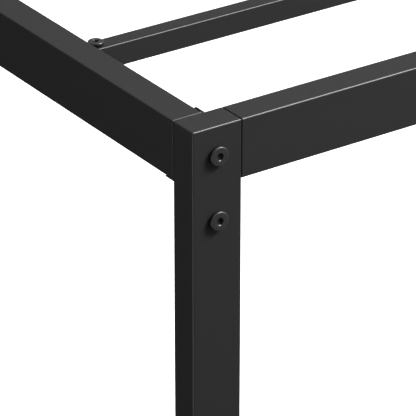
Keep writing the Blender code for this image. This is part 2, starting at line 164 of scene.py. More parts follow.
def tint(name, description, default):
    """A setting for a colour."""
    return bpy.props.FloatVectorProperty(
        name=name, description=description, default=default, size=3, min=0.0, max=1.0, subtype="COLOR")


def amount(name, description, default, most, **kind):
    """A setting for a brightness, a share, a power or an angle, from nothing up."""
    return bpy.props.FloatProperty(
        name=name, description=description, default=default, min=0.0, max=most, **kind)


class SteelSettings(bpy.types.PropertyGroup):
    """Tube sections and the coat on them."""

    corner_radius: metres(
        "Corner radius", "Outer rounding of the rail and leg tubes", 0.0014, 0.0005, 0.006)
    rim_radius: metres("Rim radius", "Rounding of the cut end of a tube", 0.0004, 0.0001, 0.0015)
    heavy_wall: metres("Heavy wall", "Wall of the legs, rails and beam", 0.0015, 0.0008, 0.003)
    light_wall: metres("Light wall", "Wall of the slats", 0.0012, 0.0006, 0.003)
    sheet: metres("Bracket sheet", "Thickness of the corner bracket's plate", 0.0020, 0.001, 0.004)
    # The lips are near-black, a dark sheet that paints the shade at the bracket's corner.
    side_lip: metres(
        "Side lip", "Thickness of the moulded lip on the side rail's inner side", 0.0024, 0.001, 0.004)
    under_lip: metres(
        "Under lip", "Thickness of the moulded lip under the side rail", 0.0011, 0.0006, 0.004)
    coat_colour: tint("Powder coat", "Colour of the baked powder coat", (0.040, 0.040, 0.041))


class FastenerSettings(bpy.types.PropertyGroup):
    """The flat-headed socket bolts, and the near-black washers under them that paint the shade of the heads'
    sides.
    """

    head_rounding: metres("Head rounding", "Radius of the rim of a bolt's head", 0.0011, 0.0003, 0.002)
    big_socket: metres(
        "Corner bolt socket", "Width across the flats of a corner bolt's socket", 0.0068, 0.003, 0.01)
    small_socket: metres(
        "Slat bolt socket", "Width across the flats of a slat bolt's socket", 0.0054, 0.002, 0.008)
    socket_depth: metres("Socket depth", "Depth of a socket", 0.0028, 0.001, 0.0038)
    # Thickness of the near-black washer that paints the shade under a bolt head's rim.
    shade_washer: metres("Washer", "Thickness of the washer under a visible bolt head", 0.0022, 0.0005, 0.003)
    # Near-black: the plugs' own colour, and painted shade where it colours the washers and the bracket lips.
    plastic_and_shade_colour: tint(
        "Dull plastic", "Colour of the washers and of the bracket lips", (0.006, 0.006, 0.006))
    screw_colour: tint("Screw black", "Colour of the blackened bolts", (0.032, 0.032, 0.033))


class WeldSettings(bpy.types.PropertyGroup):
    """Fillet welds under the powder coat."""

    bead_radius: metres("Bead radius", "Radius of a fillet weld", 0.0016, 0.0005, 0.004)
    ripple_pitch: metres(
        "Ripple pitch", "Distance between the ripples of a weld", 0.0022, 0.0008, 0.006)
    ripple_height: amount("Ripple height", "Share of the bead's radius that ripples", 0.10, 0.4)


class FootSettings(bpy.types.PropertyGroup):
    """Moulded feet."""

    edge_radius: metres("Foot edge radius", "Rounding of a foot's lower edge", 0.0016, 0.0003, 0.0024)
    plastic_colour: tint("Foot plastic", "Colour of the moulded feet", (0.014, 0.014, 0.014))


class StageSettings(bpy.types.PropertyGroup):
    """Floor, lights and camera."""

    floor_colour: tint("Floor", "Colour of the studio floor", (0.86, 0.86, 0.86))
    floor_lift: amount("Floor lift", "Extra light from the floor, seen by the camera only", 0.87, 2.0)
    key_power: amount("Key light", "Power of the main softbox", 172.0, 5000.0, unit="POWER")
    fill_power: amount("Fill light", "Power of the softbox on the left", 2.6, 1000.0, unit="POWER")
    dim_level: amount("Studio level", "Brightness of the dim studio around the bed", 0.05, 2.0)
    top_level: amount("Ceiling level", "Extra brightness of the studio overhead", 0.26, 2.0)
    card_base: amount("Reflected level", "Lowest brightness that the coat reflects", 0.07, 2.0)
    back_card: amount("Back card", "Brightness that the flat tops reflect", 0.21, 4.0)
    front_card: amount("Front card", "Brightness that the end faces reflect", 0.10, 4.0)
    key_card: amount("Key card", "Extra brightness of the main light in reflections", 15.0, 40.0)
    side_card: amount("Side card", "Brightness of the card on the right in reflections", 4.0, 40.0)
    left_card: amount("Left card", "Brightness that the upright edges reflect", 3.4, 40.0)
    rear_card: amount("Rear card", "Brightness that the right upright edges reflect", 1.0, 40.0)
    ridge_card: amount("Ridge card", "Brightness that the left top edges reflect", 1.2, 40.0)
    lens: bpy.props.FloatProperty(
        name="Lens", description="Focal length of the camera, in millimetres",
        default=259.6, min=20.0, max=600.0)
    azimuth: amount(
        "Camera azimuth", "Turn of the camera from the foot end towards the left side",
        math.radians(34.425), math.pi, subtype="ANGLE")
    elevation: amount(
        "Camera elevation", "Height of the camera above the horizon",
        math.radians(26.76), math.pi / 2, subtype="ANGLE")
    distance: metres(
        "Camera distance", "Depth of the leg's top corner in front of the camera", 2.508, 0.5, 20.0)
    aim_right: metres(
        "Aim right", "How far the view's middle lies to the right of the leg's top corner",
        0.01276, -1.0, 1.0)
    aim_down: metres(
        "Aim down", "How far the view's middle lies below the leg's top corner", 0.06253, -1.0, 1.0)


SETTINGS = {
    "bed_steel": SteelSettings,
    "bed_fasteners": FastenerSettings,
    "bed_welds": WeldSettings,
    "bed_feet": FootSettings,
    "bed_stage": StageSettings,
}


# ---- Meshes ----


def corner_matrix(side, end):
    """Takes a place measured inwards from an outer corner to its place on the bed."""
    outer = Vector((side * HALF_WIDTH, end * HALF_LENGTH, 0))
    return Matrix.Translation(outer) @ Matrix.Diagonal((-side, -end, 1.0, 1.0))


def rounded_outline(width, height, radius, steps):
    """Points around a rounded rectangle centred on nothing, anticlockwise."""
    points = []
    for turn, (sx, sy) in enumerate(((1, 1), (-1, 1), (-1, -1), (1, -1))):
        centre = Vector((sx * (width / 2 - radius), sy * (height / 2 - radius)))
        for step in range(steps + 1):
            angle = math.pi / 2 * (turn + step / steps)
            points.append(centre + radius * Vector((math.cos(angle), math.sin(angle))))
    return points


def arc_stations(centre_inset, centre_place, radius, start, stop, steps):
    """(inset, place) pairs along an arc, for a rounded rim."""
    stations = []
    for step in range(steps + 1):
        angle = start + (stop - start) * step / steps
        stations.append((
            centre_inset - radius * math.cos(angle),
            centre_place + radius * math.sin(angle),
        ))
    return stations


def skin(stations, width, height, radius, to_place, closed):
    """A mesh through rounded rectangles, each inset by some amount at some place on the axis."""
    bm = bmesh.new()
    loops = []
    for inset, place in stations:
        outline = rounded_outline(
            width - 2 * inset, height - 2 * inset, max(radius - inset, LEAST_RADIUS), ARC_STEPS)
        loops.append([bm.verts.new(to_place @ Vector((p.x, p.y, place))) for p in outline])
    pairs = list(zip(loops, loops[1:]))
    if closed:
        pairs.append((loops[-1], loops[0]))
    for lower, upper in pairs:
        for i in range(len(lower)):
            j = (i + 1) % len(lower)
            bm.faces.new((lower[i], lower[j], upper[j], upper[i]))
    if not closed:
        bm.faces.new(loops[0])
        bm.faces.new(loops[-1])
    bmesh.ops.recalc_face_normals(bm, faces=bm.faces)
    return bm


def axis_frame(low, high, axis):
    """(width, height, length, matrix) for a bar along an axis, its matrix taking Z to that axis."""
    size = high - low
    turns = {
        0: Matrix(((0, 0, 1), (1, 0, 0), (0, 1, 0))),
        1: Matrix(((0, 1, 0), (0, 0, 1), (1, 0, 0))),
        2: Matrix.Identity(3),
    }
    to_place = Matrix.Translation((low + high) / 2) @ turns[axis].to_4x4()
    return size[(axis + 1) % 3], size[(axis + 2) % 3], size[axis], to_place


def open_tube(low, high, axis, radius, wall, rim):
    """A tube open at both ends, with its cut rims slightly rounded."""
    width, height, length, to_place = axis_frame(low, high, axis)
    half = length / 2
    stations = [(wall, -half + rim / 2)]
    stations += arc_stations(rim, -half + rim, rim, -math.pi / 2, 0, RIM_STEPS)
    stations += arc_stations(rim, half - rim, rim, 0, math.pi / 2, RIM_STEPS)
    stations += [(wall, half - rim / 2)]
    return skin(stations, width, height, radius, to_place, closed=True)


def capped_tube(low, high, radius, wall, rim):
    """An upright tube closed by a rounded top and open underneath."""
    width, height, length, to_place = axis_frame(low, high, 2)
    half = length / 2
    stations = [(wall, half - wall), (wall, -half + rim / 2)]
    stations += arc_stations(rim, -half + rim, rim, -math.pi / 2, 0, RIM_STEPS)
    stations += arc_stations(radius, half - radius, radius, 0, math.pi / 2, ARC_STEPS)
    return skin(stations, width, height, radius, to_place, closed=False)


def box_into(bm, low, high):
    low, high = Vector(low), Vector(high)
    place = Matrix.Translation((low + high) / 2) @ Matrix.Diagonal((*(high - low), 1.0))
    bmesh.ops.create_cube(bm, size=1.0, matrix=place)


def rod_into(bm, centre, direction, radius, length, sides=ROUND_STEPS):
    turn = Vector(direction).to_track_quat("Z", "Y").to_matrix().to_4x4()
    bmesh.ops.create_cone(
        bm, cap_ends=True, segments=sides, radius1=radius, radius2=radius,
        depth=length, matrix=Matrix.Translation(centre) @ turn)


def grown_into(bm, corners, step):
    """A flat face through some corners, grown along a step into a solid."""
    face = bm.faces.new([bm.verts.new(corner) for corner in corners])
    grown = bmesh.ops.extrude_face_region(bm, geom=[face])["geom"]
    moved = [part for part in grown if isinstance(part, bmesh.types.BMVert)]
    bmesh.ops.translate(bm, verts=moved, vec=step)
    bmesh.ops.recalc_face_normals(bm, faces=bm.faces)


def plate(outline, front, thickness):
    """A sheet in the XZ plane, growing along Y."""
    bm = bmesh.new()
    grown_into(bm, [(x, front, z) for x, z in outline], (0, thickness, 0))
    return bm


def spun_object(name, profile, closed):
    """A profile of (radius, height) pairs turned once around Z."""
    bm = bmesh.new()
    verts = [bm.verts.new((radius, 0, height)) for radius, height in profile]
    following = verts[1:] + verts[:1] if closed else verts[1:]
    edges = [bm.edges.new(pair) for pair in zip(verts, following)]
    bmesh.ops.spin(bm, geom=verts + edges, cent=(0, 0, 0), axis=(0, 0, 1),
                   angle=math.tau, steps=ROUND_STEPS, use_merge=True)
    bmesh.ops.remove_doubles(bm, verts=bm.verts, dist=1e-6)
    bmesh.ops.recalc_face_normals(bm, faces=bm.faces)
    return loose_object(bm, name)


def linked(name, mesh):
    """A new object in the scene."""
    obj = bpy.data.objects.new(name, mesh)
    bpy.context.scene.collection.objects.link(obj)
    return obj


def loose_object(bm, name):
    mesh = bpy.data.meshes.new(name)
    bm.to_mesh(mesh)
    bm.free()
    return linked(name, mesh)


def evaluated_mesh(obj):
    """A plain mesh of the object as its modifiers leave it."""
    bpy.context.view_layer.update()
    graph = bpy.context.evaluated_depsgraph_get()
    return bpy.data.meshes.new_from_object(obj.evaluated_get(graph))


def settle(obj):
    """The object's evaluated mesh; the object is removed."""
    mesh = evaluated_mesh(obj)
    bpy.data.objects.remove(obj, do_unlink=True)
    return mesh


def combine(obj, operation, bm):
    """Cuts or adds a shape for good."""
    helper = loose_object(bm, obj.name + "_helper")
    modifier = obj.modifiers.new("combine", "BOOLEAN")
    modifier.operation = operation
    modifier.solver = "EXACT"
    modifier.object = helper
    mesh = evaluated_mesh(obj)
    obj.modifiers.clear()
    obj.data = mesh
    bpy.data.objects.remove(helper, do_unlink=True)


def soften(obj, width, segments=2):
    """Rounds the sharp edges of a sheet or block."""
    bevel = obj.modifiers.new("soften", "BEVEL")
    bevel.width = width
    bevel.segments = segments
    bevel.limit_method = "ANGLE"
    bevel.angle_limit = SOFT_ANGLE
    bevel.use_clamp_overlap = True


def smooth_mesh(obj, sharp=50.0):
    """The object's final mesh, shaded smooth with its large faces kept flat; the object is removed."""
    obj.data.shade_smooth()
    obj.data.set_sharp_from_angle(angle=math.radians(sharp))
    weighted = obj.modifiers.new("even_shading", "WEIGHTED_NORMAL")
    weighted.mode = "FACE_AREA"
    weighted.weight = 100
    weighted.keep_sharp = True
    return settle(obj)


def piece(name, mesh, material, slot, *nodes):
    """A finished piece that rides on the frame and stands for its plain solids."""
    mesh.name = name
    mesh.materials.clear()
    mesh.materials.append(material)
    obj = linked(name, mesh)
    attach(obj, "root")
    if nodes:
        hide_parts(*nodes)


def steel_piece(name, mesh, *nodes):
    piece(name, mesh, powder_coat(), "powder_coated_steel", *nodes)


def mirrored(mesh, matrix):
    copy = mesh.copy()
    copy.transform(matrix)
    if matrix.determinant() < 0:
        copy.flip_normals()
    return copy


def corner_copies(mesh):
    """Each corner's name with a copy of a mesh turned into its place there."""
    return [(corner, mirrored(mesh, corner_matrix(side, end)))
            for corner, (side, end) in CORNERS.items()]


# ---- Nodes ----


def add_socket(tree, name, kind, is_input, default=None):
    socket = tree.interface.new_socket(
        name=name, in_out="INPUT" if is_input else "OUTPUT", socket_type=kind)
    if default is not None:
        socket.default_value = default


def add_node(tree, kind, values=None, **options):
    """A new node with its options set, then its inputs by name or number."""
    node = tree.nodes.new(kind)
    for option, value in options.items():
        setattr(node, option, value)
    for entry, value in (values or {}).items():
        node.inputs[entry].default_value = value
    return node


def wire(tree, *links):
    """Links given as node, output, node, input."""
    for source, output, target, entry in links:
        tree.links.new(source.outputs[output], target.inputs[entry])


# ---- Materials ----


def mask_group(name, inputs, outputs):
    """A new shader group from a vector and some numbers to some masks, with its two end nodes."""
    tree = bpy.data.node_groups.new(name, "ShaderNodeTree")
    add_socket(tree, "Vector", "NodeSocketVector", True)
    for label, default in inputs:
        add_socket(tree, label, "NodeSocketFloat", True, default)
    for label in outputs:
        add_socket(tree, label, "NodeSocketFloat", False)
    return tree, add_node(tree, "NodeGroupInput"), add_node(tree, "NodeGroupOutput")


def coat_grain_group():
    """Orange peel and fine speck of a baked powder coat, as a height and a shade mask."""
    made = bpy.data.node_groups.get("coat_grain")
    if made:
        return made
    tree, entry, leave = mask_group(
        "coat_grain", (("Peel Scale", 420.0), ("Speck Scale", 2600.0), ("Speck Share", 0.35)),
        ("Height", "Mottle"))
    peel = add_node(tree, "ShaderNodeTexNoise", {"Detail": 3.0, "Roughness": 0.45})
    speck = add_node(tree, "ShaderNodeTexNoise", {"Detail": 1.0})
    mottle = add_node(tree, "ShaderNodeTexNoise", {"Scale": 9.0, "Detail": 5.0, "Roughness": 0.6})
    blend = add_node(tree, "ShaderNodeMix", data_type="FLOAT")
    wire(tree,
         (entry, "Vector", peel, "Vector"),
         (entry, "Vector", speck, "Vector"),
         (entry, "Vector", mottle, "Vector"),
         (entry, "Peel Scale", peel, "Scale"),
         (entry, "Speck Scale", speck, "Scale"),
         (entry, "Speck Share", blend, "Factor"),
         (peel, "Fac", blend, "A"),
         (speck, "Fac", blend, "B"),
         (blend, "Result", leave, "Height"),
         (mottle, "Fac", leave, "Mottle"))
    return tree


def settled_dust_group():
    """A mask that grows where faces look up and dust has settled unevenly."""
    made = bpy.data.node_groups.get("settled_dust")
    if made:
        return made
    tree, entry, leave = mask_group(
        "settled_dust", (("Patch Scale", 14.0), ("Amount", 0.5)), ("Mask",))
    geometry = add_node(tree, "ShaderNodeNewGeometry")
    split = add_node(tree, "ShaderNodeSeparateXYZ")
    upward = add_node(tree, "ShaderNodeMapRange", {"From Min": 0.55, "From Max": 1.0})
    patches = add_node(tree, "ShaderNodeTexNoise", {"Detail": 6.0})
    spread = add_node(
        tree, "ShaderNodeMapRange", {"From Min": 0.25, "From Max": 0.75, "To Min": 0.6})
    both = add_node(tree, "ShaderNodeMath", operation="MULTIPLY")
    scaled = add_node(tree, "ShaderNodeMath", operation="MULTIPLY")
    wire(tree,
         (geometry, "Normal", split, "Vector"),
         (split, "Z", upward, "Value"),
         (entry, "Vector", patches, "Vector"),
         (entry, "Patch Scale", patches, "Scale"),
         (patches, "Fac", spread, "Value"),
         (upward, "Result", both, 0),
         (spread, "Result", both, 1),
         (both, "Value", scaled, 0),
         (entry, "Amount", scaled, 1),
         (scaled, "Value", leave, "Mask"))
    return tree


def shade(colour, share=1.0, lift=0.0):
    """A colour made darker or lighter, with full alpha."""
    return (*[part * share + lift for part in colour], 1.0)


def dark_finish(name, colour, roughness, ior, peel, speck, speck_share, bump, dust, lift):
    """A dark finish with grain, a little mottling and settled dust."""
    material = bpy.data.materials.get(name)
    if material:
        return material
    material = bpy.data.materials.new(name)
    material.use_nodes = True
    tree = material.node_tree
    shader = tree.nodes["Principled BSDF"]
    shader.inputs["IOR"].default_value = ior
    place = add_node(tree, "ShaderNodeTexCoord")
    grain = add_node(
        tree, "ShaderNodeGroup",
        {"Peel Scale": peel, "Speck Scale": speck, "Speck Share": speck_share},
        node_tree=coat_grain_group())
    dusting = add_node(
        tree, "ShaderNodeGroup", {"Amount": dust}, node_tree=settled_dust_group())
    raised = add_node(tree, "ShaderNodeBump", {"Strength": 1.0, "Distance": bump})
    shades = add_node(
        tree, "ShaderNodeMix", {"A": shade(colour, MOTTLE_DARK), "B": shade(colour, MOTTLE_LIGHT)},
        data_type="RGBA")
    dusted = add_node(tree, "ShaderNodeMix", {"B": shade(colour, lift=lift)}, data_type="RGBA")
    gloss = add_node(tree, "ShaderNodeMapRange", {
        "From Min": 0.3, "From Max": 0.7,
        "To Min": roughness - LESS_ROUGH, "To Max": roughness + MORE_ROUGH,
    })
    wire(tree,
         (place, "Object", grain, "Vector"),
         (place, "Object", dusting, "Vector"),
         (grain, "Height", raised, "Height"),
         (raised, "Normal", shader, "Normal"),
         (grain, "Mottle", shades, "Factor"),
         (shades, "Result", dusted, "A"),
         (dusting, "Mask", dusted, "Factor"),
         (dusted, "Result", shader, "Base Color"),
         (grain, "Mottle", gloss, "Value"),
         (gloss, "Result", shader, "Roughness"))
    return material


def powder_coat():
    return dark_finish(
        "powder_coated_steel", bpy.context.scene.bed_steel.coat_colour, roughness=0.34, ior=1.38,
        peel=420.0, speck=2600.0, speck_share=0.35, bump=0.00004, dust=0.5, lift=0.006)


def black_screw():
    return dark_finish(
        "blackened_screw", bpy.context.scene.bed_fasteners.screw_colour, roughness=0.34, ior=1.42,
        peel=900.0, speck=4000.0, speck_share=0.5, bump=0.00001, dust=0.3, lift=0.006)


def dull_plastic():
    """Near-black matt plastic: the plugs' own colour, and painted shade on the washers and the bracket lips.
    """
    return dark_finish(
        "dull_plastic", bpy.context.scene.bed_fasteners.plastic_and_shade_colour, roughness=0.85, ior=1.2,
        peel=1400.0, speck=5200.0, speck_share=0.6, bump=0.00004, dust=0.1, lift=0.003)


def foot_plastic():
    return dark_finish(
        "moulded_foot", bpy.context.scene.bed_feet.plastic_colour, roughness=0.55, ior=1.45,
        peel=1400.0, speck=5200.0, speck_share=0.6, bump=0.00006, dust=0.2, lift=0.01)


# ---- Geometry Nodes ----


def geometry_tree(name, inputs):
    """A new tree with a geometry in and out and the named inputs, and its entry node."""
    tree = bpy.data.node_groups.new(name, "GeometryNodeTree")
    add_socket(tree, "Geometry", "NodeSocketGeometry", True)
    for label, kind, default in inputs:
        add_socket(tree, label, kind, True, default)
    add_socket(tree, "Material", "NodeSocketMaterial", True)
    add_socket(tree, "Geometry", "NodeSocketGeometry", False)
    return tree, add_node(tree, "NodeGroupInput")


def close_tree(tree, entry, source, output):
    """Ends a tree in Realize Instances and Set Material."""
    real = add_node(tree, "GeometryNodeRealizeInstances")
    paint = add_node(tree, "GeometryNodeSetMaterial")
    leave = add_node(tree, "NodeGroupOutput")
    wire(tree,
         (source, output, real, "Geometry"),
         (real, "Geometry", paint, "Geometry"),
         (entry, "Material", paint, "Material"),
         (paint, "Geometry", leave, "Geometry"))
    return tree


def row_tree():
    """Repeats its geometry at an even pitch along Y."""
    tree, entry = geometry_tree("even_row", (
        ("Count", "NodeSocketInt", 9),
        ("Pitch", "NodeSocketFloat", 0.2),
    ))
    step = add_node(tree, "ShaderNodeCombineXYZ")
    line = add_node(tree, "GeometryNodeMeshLine")
    copies = add_node(tree, "GeometryNodeInstanceOnPoints")
    wire(tree,
         (entry, "Count", line, "Count"),
         (entry, "Pitch", step, "Y"),
         (step, "Vector", line, "Offset"),
         (line, "Mesh", copies, "Points"),
         (entry, "Geometry", copies, "Instance"))
    return close_tree(tree, entry, copies, "Instances")


def seats_tree():
    """Puts a fastener on each vertex, its head along the stored direction, turned at random."""
    tree, entry = geometry_tree("fastener_seats", (
        ("Fastener", "NodeSocketObject", None),
        ("Seed", "NodeSocketInt", 3),
    ))
    source = add_node(tree, "GeometryNodeObjectInfo")
    direction = add_node(
        tree, "GeometryNodeInputNamedAttribute", {"Name": "direction"}, data_type="FLOAT_VECTOR")
    aim = add_node(tree, "FunctionNodeAlignRotationToVector", axis="Z")
    spin = add_node(tree, "FunctionNodeRandomValue", data_type="FLOAT")
    spin.inputs["Max"].default_value = math.tau / HEX_SIDES
    about_z = add_node(tree, "ShaderNodeCombineXYZ")
    turned = add_node(tree, "FunctionNodeRotateRotation", rotation_space="LOCAL")
    copies = add_node(tree, "GeometryNodeInstanceOnPoints")
    wire(tree,
         (entry, "Fastener", source, "Object"),
         (entry, "Geometry", copies, "Points"),
         (source, "Geometry", copies, "Instance"),
         (direction, "Attribute", aim, "Vector"),
         (entry, "Seed", spin, "Seed"),
         (spin, "Value", about_z, "Z"),
         (aim, "Rotation", turned, "Rotation"),
         (about_z, "Vector", turned, "Rotate By"),
         (turned, "Rotation", copies, "Rotation"))
    return close_tree(tree, entry, copies, "Instances")


def weld_tree():
    """Runs a rippled bead along each path."""
    tree, entry = geometry_tree("fillet_welds", (
        ("Bead Radius", "NodeSocketFloat", 0.0016),
        ("Ripple Pitch", "NodeSocketFloat", 0.0022),
        ("Ripple Height", "NodeSocketFloat", 0.1),
    ))
    path = add_node(tree, "GeometryNodeMeshToCurve")
    quarter = add_node(tree, "ShaderNodeMath", {1: 0.25}, operation="MULTIPLY")
    fine = add_node(tree, "GeometryNodeResampleCurve", mode="LENGTH")
    along = add_node(tree, "GeometryNodeSplineParameter")
    turns = add_node(tree, "ShaderNodeMath", operation="DIVIDE")
    phase = add_node(tree, "ShaderNodeMath", {1: math.tau}, operation="MULTIPLY")
    wave = add_node(tree, "ShaderNodeMath", operation="COSINE")
    swell = add_node(tree, "ShaderNodeMath", {2: 1.0}, operation="MULTIPLY_ADD")
    size = add_node(tree, "GeometryNodeSetCurveRadius")
    ring = add_node(tree, "GeometryNodeCurvePrimitiveCircle", {"Resolution": 12})
    bead = add_node(tree, "GeometryNodeCurveToMesh", {"Fill Caps": True})
    smooth = add_node(tree, "GeometryNodeSetShadeSmooth")
    wire(tree,
         (entry, "Geometry", path, "Mesh"),
         (entry, "Ripple Pitch", quarter, 0),
         (quarter, "Value", fine, "Length"),
         (path, "Curve", fine, "Curve"),
         (along, "Length", turns, 0),
         (entry, "Ripple Pitch", turns, 1),
         (turns, "Value", phase, 0),
         (phase, "Value", wave, 0),
         (wave, "Value", swell, 0),
         (entry, "Ripple Height", swell, 1),
         (fine, "Curve", size, "Curve"),
         (swell, "Value", size, "Radius"),
         (entry, "Bead Radius", ring, "Radius"),
         (size, "Curve", bead, "Curve"),
         (ring, "Curve", bead, "Profile Curve"),
         (bead, "Mesh", smooth, "Geometry"))
    if "Scale" in bead.inputs:
        wire(tree, (swell, "Value", bead, "Scale"))
    return close_tree(tree, entry, smooth, "Geometry")


def run_tree(obj, tree, values):
    """Evaluates a node tree on an object with its named inputs set; gives a plain mesh."""
    modifier = obj.modifiers.new(tree.name, "NODES")
    modifier.node_group = tree
    for item in tree.interface.items_tree:
        if item.item_type == "SOCKET" and item.in_out == "INPUT" and item.name in values:
            modifier[item.identifier] = values[item.name]
    return settle(obj)


def row_mesh(mesh, name):
    """A steel mesh repeated for each slat."""
    values = {"Count": SLAT_COUNT, "Pitch": SLAT_PITCH, "Material": powder_coat()}
    return run_tree(linked(name, mesh), row_tree(), values)


def seated_mesh(name, fastener, seats, material, seed):
    """A fastener on each of its seats, which are (place, direction its head faces) pairs."""
    mesh = bpy.data.meshes.new(name)
    mesh.from_pydata([place for place, _ in seats], [], [])
    facing = mesh.attributes.new("direction", "FLOAT_VECTOR", "POINT")
    for index, (_, direction) in enumerate(seats):
        facing.data[index].vector = direction
    seated = run_tree(linked(name + "_seats", mesh), seats_tree(), {
        "Fastener": fastener, "Seed": seed, "Material": material,
    })
    bpy.data.objects.remove(fastener, do_unlink=True)
    return seated


# ---- Legs, rails and brackets ----


def bolt_axis(low, high):
    """Height of a bolt that lies along the bed, and how far it is from the outer side."""
    return (low.z + high.z) / 2, (low.x + high.x) / 2 + HALF_WIDTH


def leg_mesh():
    """A corner leg, measured from the outer corner of the bed."""
    steel = bpy.context.scene.bed_steel
    low = Vector((0, 0, LEG_LOW.z))
    high = Vector((LEG_WIDTH, TUBE_DEPTH, TOP))
    tube = capped_tube(low, high, steel.corner_radius, steel.heavy_wall, steel.rim_radius)
    obj = loose_object(tube, "leg")
    holes = bmesh.new()
    for bolt_low, bolt_high in ((UPPER_LOW, UPPER_HIGH), (LOWER_LOW, LOWER_HIGH)):
        z, x = bolt_axis(bolt_low, bolt_high)
        rod_into(holes, (x, TUBE_DEPTH / 2, z), (0, 1, 0), BIG_HOLE, 2 * TUBE_DEPTH)
    combine(obj, "DIFFERENCE", holes)
    return smooth_mesh(obj)


class BEDFRAME_OT_legs(bpy.types.Operator):
    """Make the four corner legs"""

    bl_idname = "bedframe.legs"
    bl_label = "Corner legs"

    def execute(self, context):
        for corner, mesh in corner_copies(leg_mesh()):
            steel_piece("corner_leg_" + corner, mesh, "leg_" + corner)
        return {"FINISHED"}


def side_rail_mesh():
    """The left side rail measured from its outer face, notched at each end for a bracket's nut."""
    steel = bpy.context.scene.bed_steel
    low = Vector((0, SIDE_LOW.y, RAIL_BOTTOM))
    high = Vector((TUBE_DEPTH, SIDE_HIGH.y, TOP))
    tube = open_tube(low, high, 1, steel.corner_radius, steel.heavy_wall, HIDDEN_RIM)
    obj = loose_object(tube, "side_rail")
    notches = bmesh.new()
    z, _ = bolt_axis(UPPER_LOW, UPPER_HIGH)
    length = LIP_BACK - RAIL_START - AIR
    for start in (SIDE_LOW.y - steel.rim_radius, SIDE_HIGH.y + steel.rim_radius - length):
        box_into(notches, (TUBE_DEPTH - 2 * steel.heavy_wall, start, z - NOTCH_HALF),
                 (TUBE_DEPTH + steel.heavy_wall, start + length, z + NOTCH_HALF))
    combine(obj, "DIFFERENCE", notches)
    return smooth_mesh(obj)


def slat_tab_mesh():
    """One welded tab with its nut, under the left end of the first slat."""
    bolt_x = SLAT_BOLT_X + HALF_WIDTH
    start, reach = TUBE_DEPTH - SINK, SIDE_HIGH.x + HALF_WIDTH
    tab_bottom = TAB_TOP - TAB_THICKNESS
    outline = [
        (start, -TAB_HALF), (reach - TAB_CUT, -TAB_HALF), (reach, -TAB_HALF + TAB_CUT),
        (reach, TAB_HALF - TAB_CUT), (reach - TAB_CUT, TAB_HALF), (start, TAB_HALF),
    ]
    bm = bmesh.new()
    grown_into(bm, [(x, FIRST_SLAT + y, tab_bottom) for x, y in outline], (0, 0, TAB_THICKNESS))
    obj = loose_object(bm, "slat_tab")
    nut = bmesh.new()
    nut_top, nut_bottom = TAB_TOP - TUCK, tab_bottom - SMALL_NUT_HEIGHT
    rod_into(nut, (bolt_x, FIRST_SLAT, (nut_top + nut_bottom) / 2), (0, 0, 1),
             SMALL_NUT_RADIUS, nut_top - nut_bottom, HEX_SIDES)
    combine(obj, "UNION", nut)
    bore = bmesh.new()
    rod_into(bore, (bolt_x, FIRST_SLAT, tab_bottom), (0, 0, 1), SMALL_BORE, SMALL_CUT, BORE_STEPS)
    combine(obj, "DIFFERENCE", bore)
    soften(obj, TAB_SOFT)
    return smooth_mesh(obj)


class BEDFRAME_OT_side_rails(bpy.types.Operator):
    """Make both side rails and the tabs that hold the slats"""

    bl_idname = "bedframe.side_rails"
    bl_label = "Side rails"

    def execute(self, context):
        rail, tab = side_rail_mesh(), slat_tab_mesh()
        for word, side in (("left", -1), ("right", 1)):
            outer = Matrix.Translation((side * HALF_WIDTH, 0, 0))
            place = outer @ Matrix.Diagonal((-side, 1.0, 1.0, 1.0))
            steel_piece("side_rail_tube_" + word, mirrored(rail, place), "side_rail_" + word)
            name = "slat_tabs_" + word
            steel_piece(name, row_mesh(mirrored(tab, place), name))
        return {"FINISHED"}


def end_rail_mesh():
    """The foot end rail, measured from its outer face."""
    steel = bpy.context.scene.bed_steel
    low = Vector((-END_REACH, 0, RAIL_BOTTOM))
    high = Vector((END_REACH, TUBE_DEPTH, TOP))
    tube = open_tube(low, high, 0, steel.corner_radius, steel.heavy_wall, HIDDEN_RIM)
    return smooth_mesh(loose_object(tube, "end_rail"))


def end_plugs_mesh():
    """Thin moulded plugs closing both ends of both end rails."""
    radius = bpy.context.scene.bed_steel.corner_radius
    outline = rounded_outline(TUBE_DEPTH - PLUG_TUCK, TOP - RAIL_BOTTOM - PLUG_TUCK, radius, PLUG_STEPS)
    bm = bmesh.new()
    for end in (-1, 1):
        middle = Vector((0, end * (HALF_LENGTH - TUBE_DEPTH / 2), (TOP + RAIL_BOTTOM) / 2))
        for side in (-1, 1):
            start = side * (END_REACH - PLUG_TUCK)
            corners = [middle + Vector((start, point.x, point.y)) for point in outline]
            grown_into(bm, corners, (side * (PLUG_THICKNESS + PLUG_TUCK), 0, 0))
    return smooth_mesh(loose_object(bm, "end_plugs"))


def hanger_mesh():
    """The U-shaped saddle that carries an end of the centre beam."""
    back = BEAM_LOW.y + HALF_LENGTH - 2 * AIR
    deep = END_HIGH.y + HALF_LENGTH
    inner = BEAM_HALF + HANGER_PLAY
    outer = inner + HANGER_SHEET
    bottom, top = END_LOW.z, BEAM_HIGH.z - HANGER_DROP
    block = bmesh.new()
    box_into(block, (-outer, TUBE_DEPTH - SINK, bottom), (outer, deep, top))
    obj = loose_object(block, "hanger")
    room = bmesh.new()
    box_into(room, (-inner, back, bottom + HANGER_SHEET), (inner, deep + OVERSHOOT, top + OVERSHOOT))
    combine(obj, "DIFFERENCE", room)
    soften(obj, HANGER_SOFT)
    return smooth_mesh(obj)


